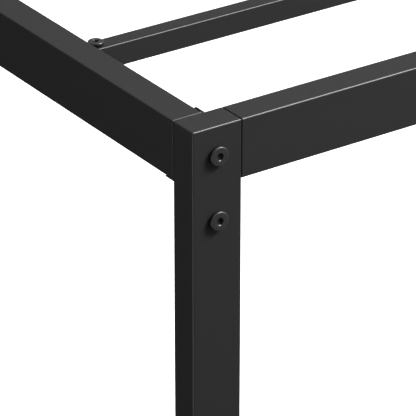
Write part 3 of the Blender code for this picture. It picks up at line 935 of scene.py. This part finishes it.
class BEDFRAME_OT_end_rails(bpy.types.Operator):
    """Make both end rails, the plugs in their ends and the hangers for the centre beam"""

    bl_idname = "bedframe.end_rails"
    bl_label = "End rails"

    def execute(self, context):
        rail, hanger = end_rail_mesh(), hanger_mesh()
        for word, end in (("foot", -1), ("head", 1)):
            outer = Matrix.Translation((0, end * HALF_LENGTH, 0))
            place = outer @ Matrix.Diagonal((1.0, -end, 1.0, 1.0))
            steel_piece("end_rail_tube_" + word, mirrored(rail, place), "end_rail_" + word)
            steel_piece("beam_hanger_" + word, mirrored(hanger, place))
        piece("end_rail_plugs", end_plugs_mesh(), dull_plastic(), "foot_plastic")
        return {"FINISHED"}


def bracket_mesh():
    """A corner bracket, measured from the outer corner of the bed."""
    sheet = bpy.context.scene.bed_steel.sheet
    left, right = PLATE_INSET, LEG_WIDTH - PLATE_INSET
    top, bottom = TOP - PLATE_INSET, BRACKET_LOW.z
    wing_x = BRACKET_HIGH.x + HALF_WIDTH
    wing_top, wing_bottom = TOP - WING_TOP_DROP, TOP - WING_BOTTOM_DROP
    obj = loose_object(plate([
        (left, bottom), (right, bottom), (right, wing_bottom), (wing_x, wing_bottom),
        (wing_x, wing_top), (right, wing_top), (right, top), (LIP_INSIDE, top),
        (LIP_INSIDE, TOP), (0.0, TOP), (0.0, LIP_TOP), (left, LIP_TOP),
    ], PLATE_FRONT, sheet), "bracket")
    soften(obj, PLATE_SOFT, segments=3)
    combine(obj, "UNION", plate(
        [(0.0, LIP_TOP), (LIP_INSIDE, LIP_TOP), (LIP_INSIDE, TOP), (0.0, TOP)],
        PLATE_FRONT + SEAM_FRONT, sheet + AIR - SEAM_FRONT))
    nuts = bmesh.new()
    bores = bmesh.new()
    plate_back = PLATE_FRONT + sheet
    for bolt_low, bolt_high in ((UPPER_LOW, UPPER_HIGH), (LOWER_LOW, LOWER_HIGH)):
        z, x = bolt_axis(bolt_low, bolt_high)
        rod_into(nuts, (x, plate_back + (BIG_NUT_HEIGHT - TUCK) / 2, z), (0, 1, 0),
                 BIG_NUT_RADIUS, BIG_NUT_HEIGHT + TUCK, HEX_SIDES)
        rod_into(bores, (x, plate_back, z), (0, 1, 0), BIG_BORE, BIG_CUT, BORE_STEPS)
    z, x = bolt_axis(RAIL_BOLT_LOW, RAIL_BOLT_HIGH)
    rod_into(bores, (x, plate_back, z), (0, 1, 0), BIG_BORE, BIG_CUT, BORE_STEPS)
    combine(obj, "UNION", nuts)
    combine(obj, "DIFFERENCE", bores)
    return smooth_mesh(obj)


def shade_sleeve_mesh():
    """A lip under the side rail's end and up its inner side, made near-black to paint the shade seen there.
    """
    steel = bpy.context.scene.bed_steel
    outside, bottom = LIP_INSIDE + steel.side_lip, LIP_TOP - steel.under_lip
    front = PLATE_FRONT + SLEEVE_FRONT
    obj = loose_object(plate([
        (AIR, bottom), (outside, bottom), (outside, TOP - AIR),
        (LIP_INSIDE, TOP - AIR), (LIP_INSIDE, LIP_TOP), (AIR, LIP_TOP),
    ], front, LIP_BACK - front), "sleeve")
    soften(obj, SLEEVE_SOFT)
    return smooth_mesh(obj)


class BEDFRAME_OT_brackets(bpy.types.Operator):
    """Make the four corner brackets and the near-black lips behind them that paint the shade there"""

    bl_idname = "bedframe.brackets"
    bl_label = "Corner brackets"

    def execute(self, context):
        for corner, mesh in corner_copies(bracket_mesh()):
            steel_piece("corner_bracket_" + corner, mesh, "bracket_" + corner)
        # Near-black lips that paint the shade at each bracket corner.
        for corner, mesh in corner_copies(shade_sleeve_mesh()):
            piece("bracket_sleeve_" + corner, mesh, dull_plastic(), "foot_plastic")
        return {"FINISHED"}


# ---- Slats and centre support ----


def slat_mesh():
    """The first slat, with a bolt hole through it near each end."""
    steel = bpy.context.scene.bed_steel
    tube = open_tube(SLAT_LOW, SLAT_HIGH, 0, steel.corner_radius * SLAT_CORNER_SHARE,
                     steel.light_wall, steel.rim_radius)
    obj = loose_object(tube, "slat")
    holes = bmesh.new()
    for x in (SLAT_BOLT_X, -SLAT_BOLT_X):
        rod_into(holes, (x, FIRST_SLAT, SLAT_LOW.z), (0, 0, 1), SMALL_HOLE, SLAT_CUT)
    combine(obj, "DIFFERENCE", holes)
    return smooth_mesh(obj)


class BEDFRAME_OT_slats(bpy.types.Operator):
    """Make the row of cross slats"""

    bl_idname = "bedframe.slats"
    bl_label = "Cross slats"

    def execute(self, context):
        nodes = ["slat_%d" % number for number in range(1, SLAT_COUNT + 1)]
        steel_piece("cross_slats", row_mesh(slat_mesh(), "cross_slats"), *nodes)
        return {"FINISHED"}


def beam_mesh():
    steel = bpy.context.scene.bed_steel
    tube = open_tube(
        BEAM_LOW, BEAM_HIGH, 1, steel.corner_radius, steel.heavy_wall, steel.rim_radius)
    return smooth_mesh(loose_object(tube, "beam"))


def post_mesh():
    """The centre leg nearest the foot end, with its top plate."""
    steel = bpy.context.scene.bed_steel
    plate_bottom = CENTRE_HIGH.z - POST_PLATE
    low = Vector((-POST_HALF, POST_Y - POST_HALF, CENTRE_LOW.z))
    high = Vector((POST_HALF, POST_Y + POST_HALF, plate_bottom + POST_SINK))
    tube = capped_tube(low, high, steel.corner_radius, steel.heavy_wall, steel.rim_radius)
    obj = loose_object(tube, "centre_leg")
    top = bmesh.new()
    box_into(top, (-POST_HALF, CENTRE_LOW.y, plate_bottom), (POST_HALF, CENTRE_HIGH.y, CENTRE_HIGH.z))
    upright = [e for e in top.edges if abs(e.verts[0].co.z - e.verts[1].co.z) > POST_PLATE / 2]
    bmesh.ops.bevel(top, geom=upright, offset=POST_PLATE_CORNER, segments=5, affect="EDGES")
    combine(obj, "UNION", top)
    return smooth_mesh(obj)


class BEDFRAME_OT_centre_support(bpy.types.Operator):
    """Make the centre beam and its two legs"""

    bl_idname = "bedframe.centre_support"
    bl_label = "Centre beam and legs"

    def execute(self, context):
        steel_piece("centre_beam_tube", beam_mesh(), "centre_beam")
        mesh = post_mesh()
        for word, turn in (("foot", 1.0), ("head", -1.0)):
            turned = mirrored(mesh, Matrix.Diagonal((1.0, turn, 1.0, 1.0)))
            steel_piece("centre_post_" + word, turned, "centre_leg_" + word)
        return {"FINISHED"}


# ---- Fasteners ----


def bolt_object(name, head_radius, shank_radius, shank_length, socket, pitch, head_height=HEAD_HEIGHT):
    """A flat-headed socket bolt, head up, with its seat at the origin and room for the near-black washer that
    paints shade under its head.
    """
    fastener = bpy.context.scene.bed_fasteners
    rim = fastener.head_rounding
    under_head = fastener.shade_washer if head_height > fastener.shade_washer + rim else 0.0
    profile = [(0.0, head_height), (head_radius - rim * FLAT_INSET, head_height)]
    for step in range(ARC_STEPS + 1):
        angle = math.pi / 2 * (1 - step / ARC_STEPS)
        profile.append((
            head_radius - rim + rim * math.cos(angle),
            head_height - rim + rim * math.sin(angle),
        ))
    profile += [
        (head_radius, under_head + FINE_EDGE), (head_radius - FINE_EDGE, under_head),
        (shank_radius, under_head),
    ]
    threads = int(shank_length * THREAD_SHARE / pitch)
    root = pitch / 2
    top = -shank_length + threads * pitch + SHANK_CHAMFER
    profile.append((shank_radius, top))
    for thread in range(threads):
        level = top - thread * pitch
        profile.append((shank_radius - root, level - pitch / 2))
        profile.append((shank_radius, level - pitch))
    profile += [(shank_radius - SHANK_CHAMFER, -shank_length), (0.0, -shank_length)]
    obj = spun_object(name, profile, closed=False)
    corner = socket / 2 / math.cos(math.pi / 6)
    cutter = bmesh.new()
    rod_into(cutter, (0, 0, head_height), (0, 0, 1), corner, 2 * fastener.socket_depth, HEX_SIDES)
    combine(obj, "DIFFERENCE", cutter)
    lead = bmesh.new()
    bmesh.ops.create_cone(
        lead, cap_ends=True, segments=ROUND_STEPS, radius1=corner - LEAD_INSIDE,
        radius2=corner + LEAD_OUTSIDE, depth=LEAD_DEPTH,
        matrix=Matrix.Translation((0, 0, head_height)))
    combine(obj, "DIFFERENCE", lead)
    return linked(name, smooth_mesh(obj, sharp=35.0))


def bolts(name, bolt, seats, nodes, seed):
    """Bolts on all their seats as one piece."""
    mesh = seated_mesh(name, bolt, seats, black_screw(), seed)
    piece(name, mesh, black_screw(), "black_screws", *nodes)


def shade_washers(name, head_radius, shank_radius, seats):
    """A thick near-black washer at each seat, filling the room between the head and the steel; its black
    paints the shaded side of the head and the shadow under it.
    """
    thickness = bpy.context.scene.bed_fasteners.shade_washer
    radius, hole = head_radius - WASHER_FIT, shank_radius + WASHER_FIT
    ring = spun_object(name + "_ring", [
        (hole, 0.0), (radius - FINE_EDGE, 0.0), (radius, FINE_EDGE), (radius, thickness - FINE_EDGE),
        (radius - FINE_EDGE, thickness), (hole, thickness),
    ], closed=True)
    shade_washer = linked(name + "_washer", smooth_mesh(ring, sharp=35.0))
    mesh = seated_mesh(name, shade_washer, seats, dull_plastic(), seed=1)
    piece(name, mesh, dull_plastic(), "foot_plastic")


def corner_seats(low, high, along):
    """Seats of a like bolt at all four corners, its head facing out of or into the bed."""
    z, x = bolt_axis(low, high)
    head_y = low.y if along < 0 else high.y
    seat_y = head_y + HALF_LENGTH - along * HEAD_HEIGHT
    seats = []
    for side, end in CORNERS.values():
        place = corner_matrix(side, end) @ Vector((x, seat_y, z))
        seats.append((place, Vector((0, -end * along, 0))))
    return seats


class BEDFRAME_OT_bolts(bpy.types.Operator):
    """Make the bolts at the corners and along the slats with near-black washers that paint the shade under
    their heads, and the screws under the beam
    """

    bl_idname = "bedframe.bolts"
    bl_label = "Bolts"

    def execute(self, context):
        sizes = context.scene.bed_fasteners
        up = Vector((0, 0, 1))
        head = (UPPER_HIGH.x - UPPER_LOW.x) / 2
        length = UPPER_HIGH.y - UPPER_LOW.y - HEAD_HEIGHT
        seats = corner_seats(UPPER_LOW, UPPER_HIGH, -1) + corner_seats(LOWER_LOW, LOWER_HIGH, -1)
        nodes = ["corner_bolt_%s_%s" % (corner, level)
                 for corner in CORNERS for level in ("upper", "lower")]
        bolt = bolt_object("leg_bolt", head, BIG_SHANK, length, sizes.big_socket, BIG_PITCH)
        bolts("corner_bolts", bolt, seats, nodes, seed=5)
        shade_washers("corner_washers", head, BIG_SHANK, seats)

        length = RAIL_BOLT_HIGH.y - RAIL_BOLT_LOW.y - HEAD_HEIGHT
        seats = corner_seats(RAIL_BOLT_LOW, RAIL_BOLT_HIGH, 1)
        bolt = bolt_object("rail_bolt", head, BIG_SHANK, length, sizes.big_socket, BIG_PITCH)
        bolts("end_rail_bolts", bolt, seats, ["rail_bolt_" + corner for corner in CORNERS], seed=8)
        shade_washers("end_rail_washers", head, BIG_SHANK, seats)

        head = (SLAT_BOLT_HIGH.x - SLAT_BOLT_LOW.x) / 2
        length = SLAT_BOLT_HIGH.z - SLAT_BOLT_LOW.z - HEAD_HEIGHT
        seats = [(Vector((side * SLAT_BOLT_X, y, SLAT_BOLT_HIGH.z - HEAD_HEIGHT)), up)
                 for y in SLAT_PLACES for side in (1, -1)]
        nodes = ["slat_bolt_%d_%s" % (number, word)
                 for number in range(1, SLAT_COUNT + 1) for word in ("left", "right")]
        bolt = bolt_object("slat_bolt", head, SMALL_SHANK, length, sizes.small_socket, SMALL_PITCH)
        bolts("slat_bolts", bolt, seats, nodes, seed=11)
        shade_washers("slat_washers", head, SMALL_SHANK, seats)

        plate_bottom = CENTRE_HIGH.z - POST_PLATE
        seats = []
        for y in (CENTRE_LOW.y + POST_SCREW_INSET, CENTRE_HIGH.y - POST_SCREW_INSET):
            seats += [(Vector((0, y, plate_bottom)), -up), (Vector((0, -y, plate_bottom)), -up)]
        screw = bolt_object(
            "post_bolt", head_radius=0.0055, shank_radius=0.0025, shank_length=0.010,
            socket=0.0035, pitch=0.0008, head_height=0.003)
        bolts("centre_post_screws", screw, seats, [], seed=2)
        return {"FINISHED"}


# ---- Welds ----


def weld_lines():
    """Straight weld runs under the tabs and beside the hangers, as pairs of points."""
    lines = []
    z = TAB_TOP - TAB_THICKNESS - SINK
    for side in (-1, 1):
        x = side * (HALF_WIDTH - TUBE_DEPTH - SINK)
        for y in SLAT_PLACES:
            lines.append([Vector((x, y - TAB_WELD_HALF, z)), Vector((x, y + TAB_WELD_HALF, z))])
    beside = BEAM_HALF + HANGER_PLAY + HANGER_SHEET + SINK
    low, high = RAIL_BOTTOM + HANGER_WELD_INSET, BEAM_HIGH.z - 2 * HANGER_DROP
    for end in (-1, 1):
        y = end * (HALF_LENGTH - TUBE_DEPTH - SINK)
        for x in (-beside, beside):
            lines.append([Vector((x, y, low)), Vector((x, y, high))])
    return lines


def weld_loops():
    """The weld around each centre post, under its top plate."""
    z = CENTRE_HIGH.z - POST_PLATE - SINK
    outline = rounded_outline(2 * POST_HALF, 2 * POST_HALF, POST_WELD_CORNER, WELD_STEPS)
    return [[Vector((p.x, y + p.y, z)) for p in outline] for y in (POST_Y, -POST_Y)]


class BEDFRAME_OT_welds(bpy.types.Operator):
    """Run the weld beads that join tabs, hangers and posts"""

    bl_idname = "bedframe.welds"
    bl_label = "Welds"

    def execute(self, context):
        sizes = context.scene.bed_welds
        points, edges = [], []
        for line in weld_lines():
            points += line
            edges.append((len(points) - 2, len(points) - 1))
        for loop in weld_loops():
            first = len(points)
            points += loop
            edges += [(first + i, first + (i + 1) % len(loop)) for i in range(len(loop))]
        mesh = bpy.data.meshes.new("weld_paths")
        mesh.from_pydata(points, edges, [])
        steel_piece("weld_beads", run_tree(linked("weld_paths", mesh), weld_tree(), {
            "Bead Radius": sizes.bead_radius, "Ripple Pitch": sizes.ripple_pitch,
            "Ripple Height": sizes.ripple_height, "Material": powder_coat(),
        }))
        return {"FINISHED"}


# ---- Feet ----


def foot_mesh(width, depth):
    """A moulded foot with a rounded flange, a ribbed plug inside the tube, and a shallow tread."""
    steel = bpy.context.scene.bed_steel
    edge = bpy.context.scene.bed_feet.edge_radius
    bottom, flange_top = FOOT_LOW.z, LEG_LOW.z - AIR
    play = steel.heavy_wall + AIR
    stations = [(TREAD_INSET, bottom + TREAD_DEPTH), (edge + TREAD_MARGIN, bottom)]
    stations += arc_stations(edge, bottom + edge, edge, -math.pi / 2, 0, FOOT_STEPS)
    stations += [(0.0, flange_top - FLANGE_DROP), (FLANGE_INSET, flange_top), (play, flange_top)]
    for step in range(1, RIB_COUNT + 1):
        level = flange_top + step * RIB_PITCH
        stations += [(play + RIB_HEIGHT, level - 2 * RIB_SLOPE), (play, level - RIB_SLOPE), (play, level)]
    stations += [(play + PLUG_TAPER, FOOT_HIGH.z)]
    to_place = Matrix.Translation((width / 2, depth / 2, 0))
    shape = skin(stations, width, depth, steel.corner_radius, to_place, closed=False)
    return smooth_mesh(loose_object(shape, "foot"), sharp=40.0)


class BEDFRAME_OT_feet(bpy.types.Operator):
    """Make the moulded feet of the six legs"""

    bl_idname = "bedframe.feet"
    bl_label = "Feet"

    def execute(self, context):
        for corner, mesh in corner_copies(foot_mesh(LEG_WIDTH, TUBE_DEPTH)):
            piece("foot_" + corner, mesh, foot_plastic(), "foot_plastic", "foot_cap_" + corner)
        mesh = foot_mesh(2 * POST_HALF, 2 * POST_HALF)
        for word, y in (("foot", POST_Y), ("head", -POST_Y)):
            placed = mirrored(mesh, Matrix.Translation((-POST_HALF, y - POST_HALF, 0)))
            piece("centre_foot_" + word, placed, foot_plastic(), "foot_plastic", "centre_cap_" + word)
        return {"FINISHED"}


# ---- Stage ----

# Each card in the coat's reflections: its setting, its direction, and the cosine at which it begins
CARDS = (
    ("back_card", (0.506, 0.744, 0.436), 0.3),
    ("front_card", (0.506, -0.744, -0.436), 0.2),
    ("left_card", (-0.86, -0.24, -0.45), 0.84),
    ("rear_card", (0.74, 0.50, -0.45), 0.84),
    ("ridge_card", (-0.30, 0.75, 0.59), 0.84),
    ("key_card", (0.505, -0.45, 0.737), 0.88),
    ("side_card", (0.84, -0.44, 0.33), 0.86),
)
CEILING_BEGIN = -0.6
BACKDROP = (0.98, 0.98, 0.98, 1.0)
# Each softbox: its name, its distance and direction from the front corner, its width and its height
SOFTBOXES = (
    ("key", 3.0, (0.62, -0.42, 0.66), 1.3, 0.8),
    ("fill", 0.75, (-0.75, -0.05, 0.66), 0.8, 0.8),
)
FRONT_CORNER = Vector((-HALF_WIDTH, -HALF_LENGTH, TOP))
SENSOR_WIDTH = 36.0
VIEW_END = 200.0
FLOOR_HALF = 45.0


def camera_axes(azimuth, elevation):
    """The camera's right, up and forward directions."""
    forward = Vector((
        math.sin(azimuth) * math.cos(elevation),
        math.cos(azimuth) * math.cos(elevation),
        -math.sin(elevation),
    ))
    right = Vector((math.cos(azimuth), -math.sin(azimuth), 0))
    return right, right.cross(forward), forward


def add_camera(stage):
    right, up, forward = camera_axes(stage.azimuth, stage.elevation)
    aim = FRONT_CORNER + right * stage.aim_right - up * stage.aim_down
    data = bpy.data.cameras.new("studio_camera")
    data.lens = stage.lens
    data.sensor_width = SENSOR_WIDTH
    data.clip_end = VIEW_END
    camera = linked("studio_camera", data)
    turn = Matrix((right, up, -forward)).transposed()
    camera.matrix_world = Matrix.Translation(aim - forward * stage.distance) @ turn.to_4x4()
    bpy.context.scene.camera = camera


def add_softbox(name, reach, direction, width, height, power):
    """A soft area light that faces the front corner."""
    data = bpy.data.lights.new(name, "AREA")
    data.shape = "RECTANGLE"
    data.size, data.size_y = width, height
    data.energy = power
    light = linked(name, data)
    light.location = FRONT_CORNER + reach * Vector(direction)
    light.rotation_euler = (FRONT_CORNER - light.location).to_track_quat("-Z", "Y").to_euler()
    light.visible_camera = False


def add_floor(stage):
    bm = bmesh.new()
    bmesh.ops.create_grid(bm, x_segments=2, y_segments=2, size=FLOOR_HALF)
    floor = loose_object(bm, "studio_floor")
    material = bpy.data.materials.new("studio_floor")
    material.use_nodes = True
    tree = material.node_tree
    shader = tree.nodes["Principled BSDF"]
    shader.inputs["Base Color"].default_value = (*stage.floor_colour, 1.0)
    shader.inputs["Roughness"].default_value = 0.9
    shader.inputs["Specular IOR Level"].default_value = 0.0
    shader.inputs["Emission Color"].default_value = (1.0, 1.0, 1.0, 1.0)
    rays = add_node(tree, "ShaderNodeLightPath")
    lift = add_node(tree, "ShaderNodeMath", {1: stage.floor_lift}, operation="MULTIPLY")
    wire(tree,
         (rays, "Is Camera Ray", lift, 0),
         (lift, "Value", shader, "Emission Strength"))
    floor.data.materials.append(material)
    floor.visible_glossy = False
    floor.visible_diffuse = False


def world_lobe(tree, direction, begin, level):
    """Brightness that grows from an angle's cosine towards a direction in the studio."""
    place = add_node(tree, "ShaderNodeTexCoord")
    unit = add_node(tree, "ShaderNodeVectorMath", operation="NORMALIZE")
    along = add_node(
        tree, "ShaderNodeVectorMath", {1: Vector(direction).normalized()}, operation="DOT_PRODUCT")
    rise = add_node(
        tree, "ShaderNodeMapRange", {"From Min": begin, "To Max": level},
        interpolation_type="SMOOTHSTEP")
    wire(tree,
         (place, "Generated", unit, 0),
         (unit, "Vector", along, 0),
         (along, "Value", rise, "Value"))
    return rise


def world_sum(tree, base, lobes):
    """A background of a base brightness and some lobes."""
    total = None
    for direction, begin, level in lobes:
        added = add_node(tree, "ShaderNodeMath", {0: base}, operation="ADD")
        if total:
            wire(tree, (total, "Value", added, 0))
        wire(tree, (world_lobe(tree, direction, begin, level), "Result", added, 1))
        total = added
    background = add_node(tree, "ShaderNodeBackground")
    wire(tree, (total, "Value", background, "Strength"))
    return background


def add_world(stage):
    """A dim studio lit from above, soft cards in its reflections, and a pale backdrop for the camera."""
    world = bpy.data.worlds.new("studio")
    bpy.context.scene.world = world
    world.use_nodes = True
    tree = world.node_tree
    tree.nodes.clear()
    rays = add_node(tree, "ShaderNodeLightPath")
    dim = world_sum(tree, stage.dim_level, [((0, 0, 1), CEILING_BEGIN, stage.top_level)])
    cards = world_sum(tree, stage.card_base, [
        (direction, begin, getattr(stage, name)) for name, direction, begin in CARDS])
    pale = add_node(tree, "ShaderNodeBackground", {"Color": BACKDROP})
    lit = add_node(tree, "ShaderNodeMixShader")
    choice = add_node(tree, "ShaderNodeMixShader")
    output = add_node(tree, "ShaderNodeOutputWorld")
    wire(tree,
         (rays, "Is Glossy Ray", lit, "Fac"),
         (dim, "Background", lit, 1),
         (cards, "Background", lit, 2),
         (rays, "Is Camera Ray", choice, "Fac"),
         (lit, "Shader", choice, 1),
         (pale, "Background", choice, 2),
         (choice, "Shader", output, "Surface"))


class BEDFRAME_OT_stage(bpy.types.Operator):
    """Set the floor, the lights and the camera"""

    bl_idname = "bedframe.stage"
    bl_label = "Studio"

    def execute(self, context):
        stage = context.scene.bed_stage
        add_camera(stage)
        add_floor(stage)
        add_world(stage)
        for name, reach, direction, width, height in SOFTBOXES:
            power = getattr(stage, name + "_power")
            add_softbox(name + "_softbox", reach, direction, width, height, power)
        context.scene.view_settings.view_transform = "Standard"
        context.scene.view_settings.look = "None"
        return {"FINISHED"}


# ---- Panel and registration ----

OPERATORS = (
    BEDFRAME_OT_stage,
    BEDFRAME_OT_legs,
    BEDFRAME_OT_side_rails,
    BEDFRAME_OT_end_rails,
    BEDFRAME_OT_brackets,
    BEDFRAME_OT_slats,
    BEDFRAME_OT_centre_support,
    BEDFRAME_OT_bolts,
    BEDFRAME_OT_welds,
    BEDFRAME_OT_feet,
)


class BEDFRAME_PT_panel(bpy.types.Panel):
    """Lists the bed frame's pieces and settings"""

    bl_idname = "BEDFRAME_PT_panel"
    bl_label = "Bed Frame"
    bl_space_type = "VIEW_3D"
    bl_region_type = "UI"
    bl_category = "Bed Frame"

    def draw(self, context):
        layout = self.layout
        for operator in OPERATORS:
            layout.operator(operator.bl_idname)
        for name, group in SETTINGS.items():
            box = layout.box()
            for label in group.__annotations__:
                box.prop(getattr(context.scene, name), label)


CLASSES = (*SETTINGS.values(), *OPERATORS, BEDFRAME_PT_panel)


def register():
    for cls in CLASSES:
        bpy.utils.register_class(cls)
    for name, group in SETTINGS.items():
        setattr(bpy.types.Scene, name, bpy.props.PointerProperty(type=group))


def unregister():
    for name in SETTINGS:
        delattr(bpy.types.Scene, name)
    for cls in reversed(CLASSES):
        bpy.utils.unregister_class(cls)


def main():
    register()
    for operator in OPERATORS:
        group, name = operator.bl_idname.split(".")
        getattr(getattr(bpy.ops, group), name)()


if __name__ == "__main__":
    main()
